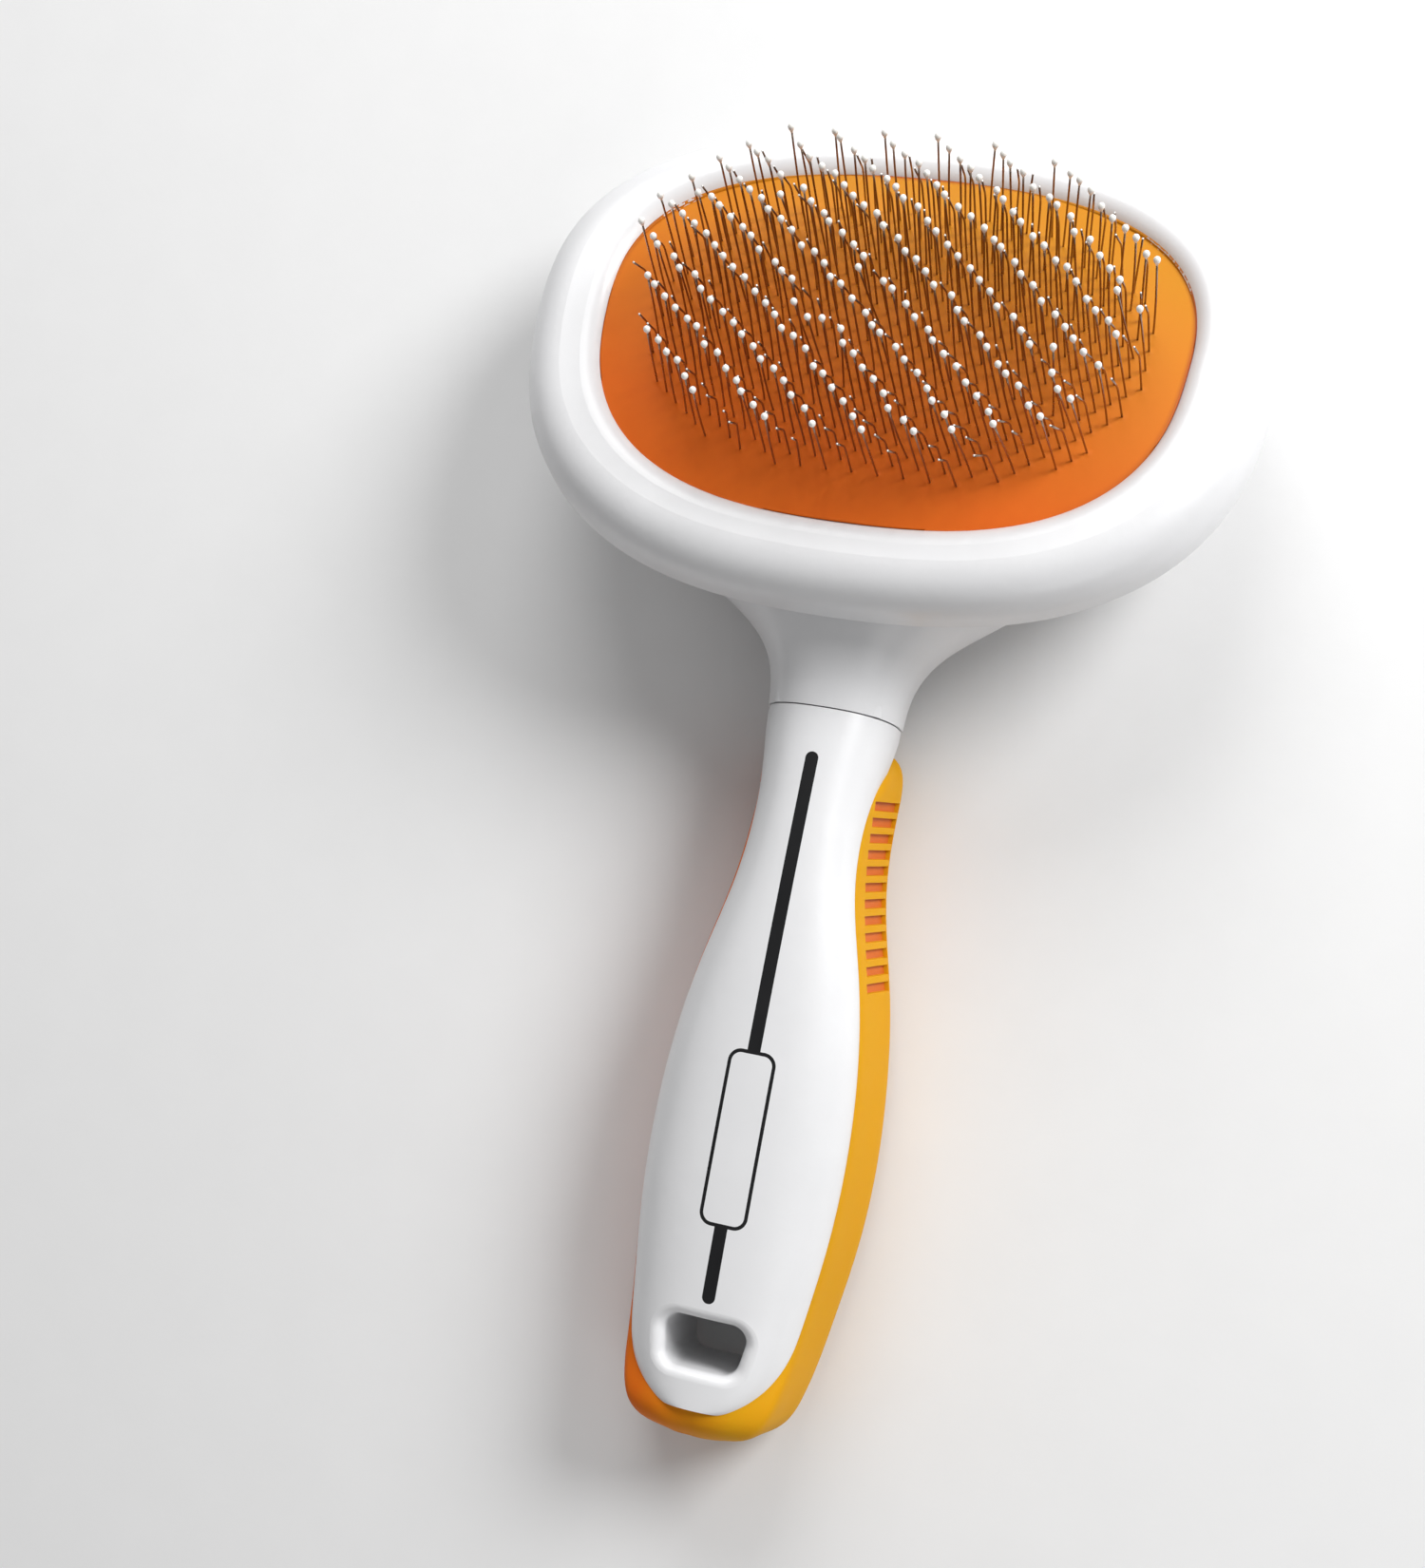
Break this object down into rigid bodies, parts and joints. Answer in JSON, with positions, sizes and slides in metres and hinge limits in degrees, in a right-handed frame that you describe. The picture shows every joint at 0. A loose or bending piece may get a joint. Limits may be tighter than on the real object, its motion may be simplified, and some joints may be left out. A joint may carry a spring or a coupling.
{
  "type": "slicker brush",
  "caption": "Dual-level slicker brush with ball-tipped and bent wires on a cushioned pad, a white bezel and neck, and a soft-grip handle with a hang hole.",
  "frame": {"origin": "middle of the brush's footprint, on the surface it lies on with its back down", "axes": "+Z out of the brush's front, +Y from the handle towards the head, X across the head"},
  "size_m": [0.1175, 0.2058, 0.0518],
  "materials": {
    "white_plastic": "semi-gloss white moulded plastic",
    "inner_plastic": "plain white moulding, hidden inside",
    "screw_steel": "zinc-plated steel",
    "pad_rubber": "satin orange rubber",
    "cushion_foam": "closed-cell foam, hidden inside",
    "ply_sheet": "stiff rubberised cloth ply, hidden inside",
    "wire_steel": "dark drawn steel wire",
    "tip_resin": "white resin drops",
    "grip_rubber": "soft-touch amber rubber",
    "rib_rubber": "red-orange rubber",
    "black_inlay": "black inlaid line"
  },
  "bodies": {
    "brush_body": {"bezel_ring": "white_plastic", "rear_housing": "white_plastic", "clamp_frame": "inner_plastic", "clamp_screws": "screw_steel", "neck_screw": "screw_steel", "handle_front_shell": "white_plastic", "handle_rear_shell": "white_plastic", "soft_grip": "grip_rubber", "rib_bars_right": "rib_rubber", "rib_bars_left": "rib_rubber", "stripe_upper": "black_inlay", "stripe_lower": "black_inlay", "label_frame": "black_inlay"},
    "pin_cushion": {"pin_pad": "pad_rubber", "pad_foam": "cushion_foam", "pin_carrier": "ply_sheet", "long_pins": "wire_steel", "long_pin_tips": "tip_resin", "short_pins": "wire_steel"}
  },
  "joints": [
    {"name": "cushion_press", "type": "slide", "parent": "brush_body", "child": "pin_cushion", "axis": [0, -0.2198, -0.9755], "range_m": [0, 0.0022], "stiffness_N_per_m": 4000, "deforming": ["pin_pad"]}
  ]
}
